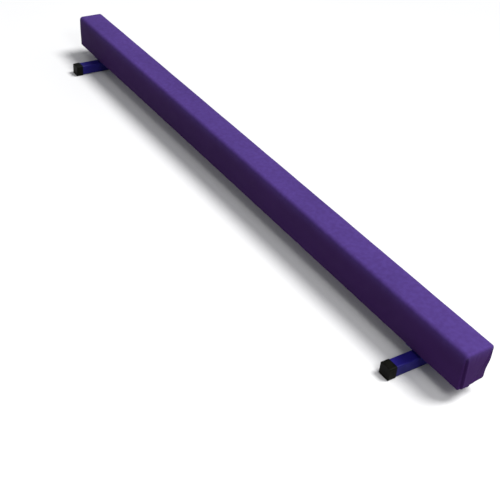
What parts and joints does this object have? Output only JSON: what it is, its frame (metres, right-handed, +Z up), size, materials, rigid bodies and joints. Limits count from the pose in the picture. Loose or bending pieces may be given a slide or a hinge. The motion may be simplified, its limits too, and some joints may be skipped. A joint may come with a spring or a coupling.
{
  "type": "balance beam",
  "caption": "Low padded gymnastics balance beam: a straight vinyl-covered beam on two steel cross tubes with plastic end caps.",
  "frame": {"origin": "on the floor, under the middle of the beam", "axes": "+X along the beam towards its near end, +Y across the beam towards its right side, +Z up"},
  "size_m": [2.4384, 0.3108, 0.1727],
  "materials": {
    "cover_vinyl": "matte",
    "foam": "matte",
    "core_wood": "matte",
    "navy_paint": "satin",
    "black_plastic": "satin",
    "zinc_steel": "satin",
    "staple_wire": "satin",
    "insert_metal": "satin"
  },
  "bodies": {
    "root": {"vinyl_cover": "cover_vinyl", "cover_staples": "staple_wire", "foam_top": "foam", "foam_left": "foam", "foam_right": "foam", "foam_underside": "foam", "foam_end_near": "foam", "foam_end_far": "foam", "core_board_top": "core_wood", "core_board_middle": "core_wood", "core_board_bottom": "core_wood", "cross_tube_near": "navy_paint", "cross_tube_far": "navy_paint", "mount_plate_near": "navy_paint", "mount_plate_far": "navy_paint", "end_cap_near_left": "black_plastic", "end_cap_near_right": "black_plastic", "end_cap_far_left": "black_plastic", "end_cap_far_right": "black_plastic", "leg_bolts_near": "zinc_steel", "leg_bolts_far": "zinc_steel", "leg_washers_near": "zinc_steel", "leg_washers_far": "zinc_steel", "threaded_inserts_near": "insert_metal", "threaded_inserts_far": "insert_metal"}
  },
  "joints": []
}
